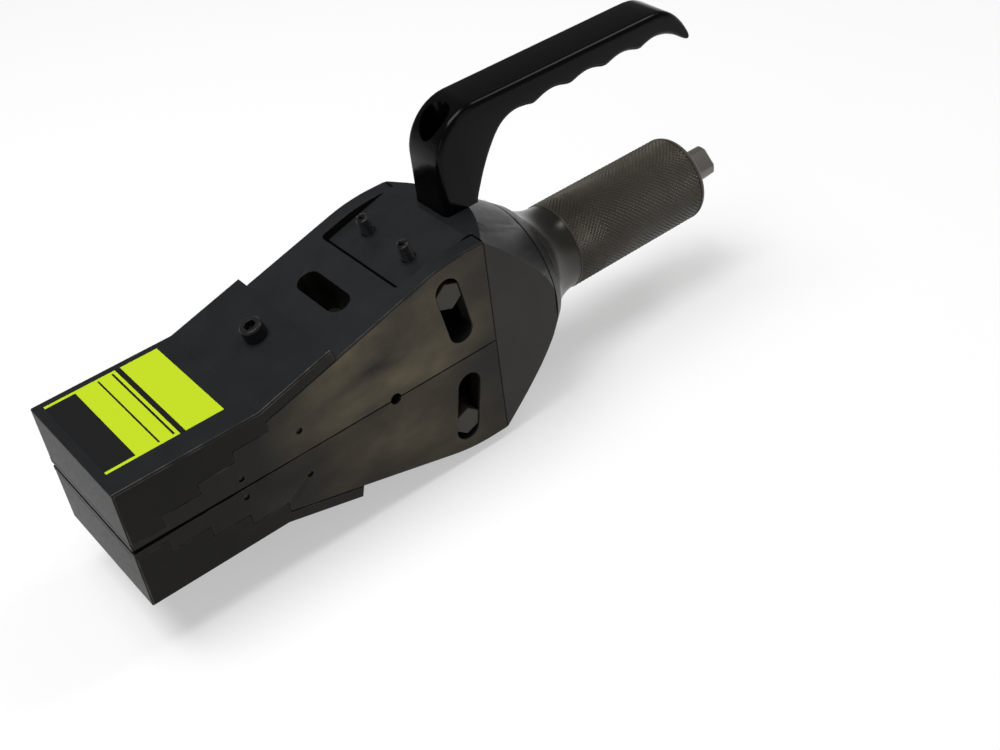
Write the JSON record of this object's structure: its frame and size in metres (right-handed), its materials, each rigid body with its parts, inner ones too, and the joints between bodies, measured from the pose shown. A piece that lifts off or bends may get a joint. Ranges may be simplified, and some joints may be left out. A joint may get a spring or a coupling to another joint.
{
  "type": "mechanical flange spreader",
  "caption": "Hand-held screw-driven wedge spreader for flange joints: two stepped jaws with stepped blocks part evenly as a square-ended screw draws a double wedge forward; scalloped handle",
  "frame": {"origin": "the middle of the gap between the two jaw tips, at the front of the nose on the parting plane", "axes": "+X runs from the nose back along the screw's axis to the square drive, +Y across the tool, +Z from the lower jaw to the upper jaw and the handle"},
  "size_m": [0.2883, 0.0608, 0.1285],
  "materials": {
    "blackened_jaw": "oil-blackened machined steel, brownish",
    "blackened_block": "oil-blackened machined steel, edges worn bright",
    "blackened_housing": "oil-blackened turned and milled steel",
    "blackened_sleeve": "oil-blackened turned steel with a diamond knurl",
    "hardened_wedge": "ground hardened steel",
    "screw_steel": "blackened hardened steel",
    "bearing_steel": "polished hardened steel",
    "black_fasteners": "black oxide",
    "bronze": "bearing bronze",
    "cage_brass": "machined brass",
    "seal_rubber": "nitrile rubber",
    "black_enamel": "thick gloss black enamel"
  },
  "bodies": {
    "frame": {"housing": "blackened_housing", "guide_bolts": "black_fasteners", "lock_screws": "black_fasteners", "tail_bush": "bronze", "tail_wiper": "seal_rubber", "sleeve": "blackened_sleeve", "journal_bush": "bronze", "journal_seal": "seal_rubber", "retaining_ring": "bearing_steel", "rear_thrust_washer": "bearing_steel", "thrust_balls": "bearing_steel", "ball_cage": "cage_brass", "carry_handle": "black_enamel", "handle_bolt": "black_fasteners", "handle_dowels": "bearing_steel"},
    "spindle": {"drive_screw": "screw_steel", "front_thrust_washer": "bearing_steel"},
    "wedge_body": {"wedge": "hardened_wedge", "drive_nut": "bronze", "nut_pins": "black_fasteners"},
    "upper_jaw_body": {"upper_jaw": "blackened_jaw", "upper_spring_pins": "black_fasteners", "upper_step_block": "blackened_block", "upper_block_screw": "black_fasteners"},
    "lower_jaw_body": {"lower_jaw": "blackened_jaw", "lower_spring_pins": "black_fasteners", "lower_step_block": "blackened_block", "lower_block_screw": "black_fasteners"}
  },
  "joints": [
    {"name": "screw_turn", "type": "hinge", "parent": "frame", "child": "spindle", "pos_m": [0.265, 0, 0], "axis": [-1, 0, 0], "range_deg": [0, 7300]},
    {"name": "wedge_slide", "type": "slide", "parent": "frame", "child": "wedge_body", "axis": [-1, 0, 0], "range_m": [0, 0.06075]},
    {"name": "upper_jaw_slide", "type": "slide", "parent": "frame", "child": "upper_jaw_body", "axis": [-0.1736, 0, 0.9848], "range_m": [0, 0.01422]},
    {"name": "lower_jaw_slide", "type": "slide", "parent": "frame", "child": "lower_jaw_body", "axis": [-0.1736, 0, -0.9848], "range_m": [0, 0.01422]}
  ],
  "couplings": [
    {"joint": "screw_turn", "follows": "wedge_slide", "rad_per_m": 2094.4},
    {"joint": "upper_jaw_slide", "follows": "wedge_slide", "ratio": 0.23388},
    {"joint": "lower_jaw_slide", "follows": "wedge_slide", "ratio": 0.23388}
  ]
}
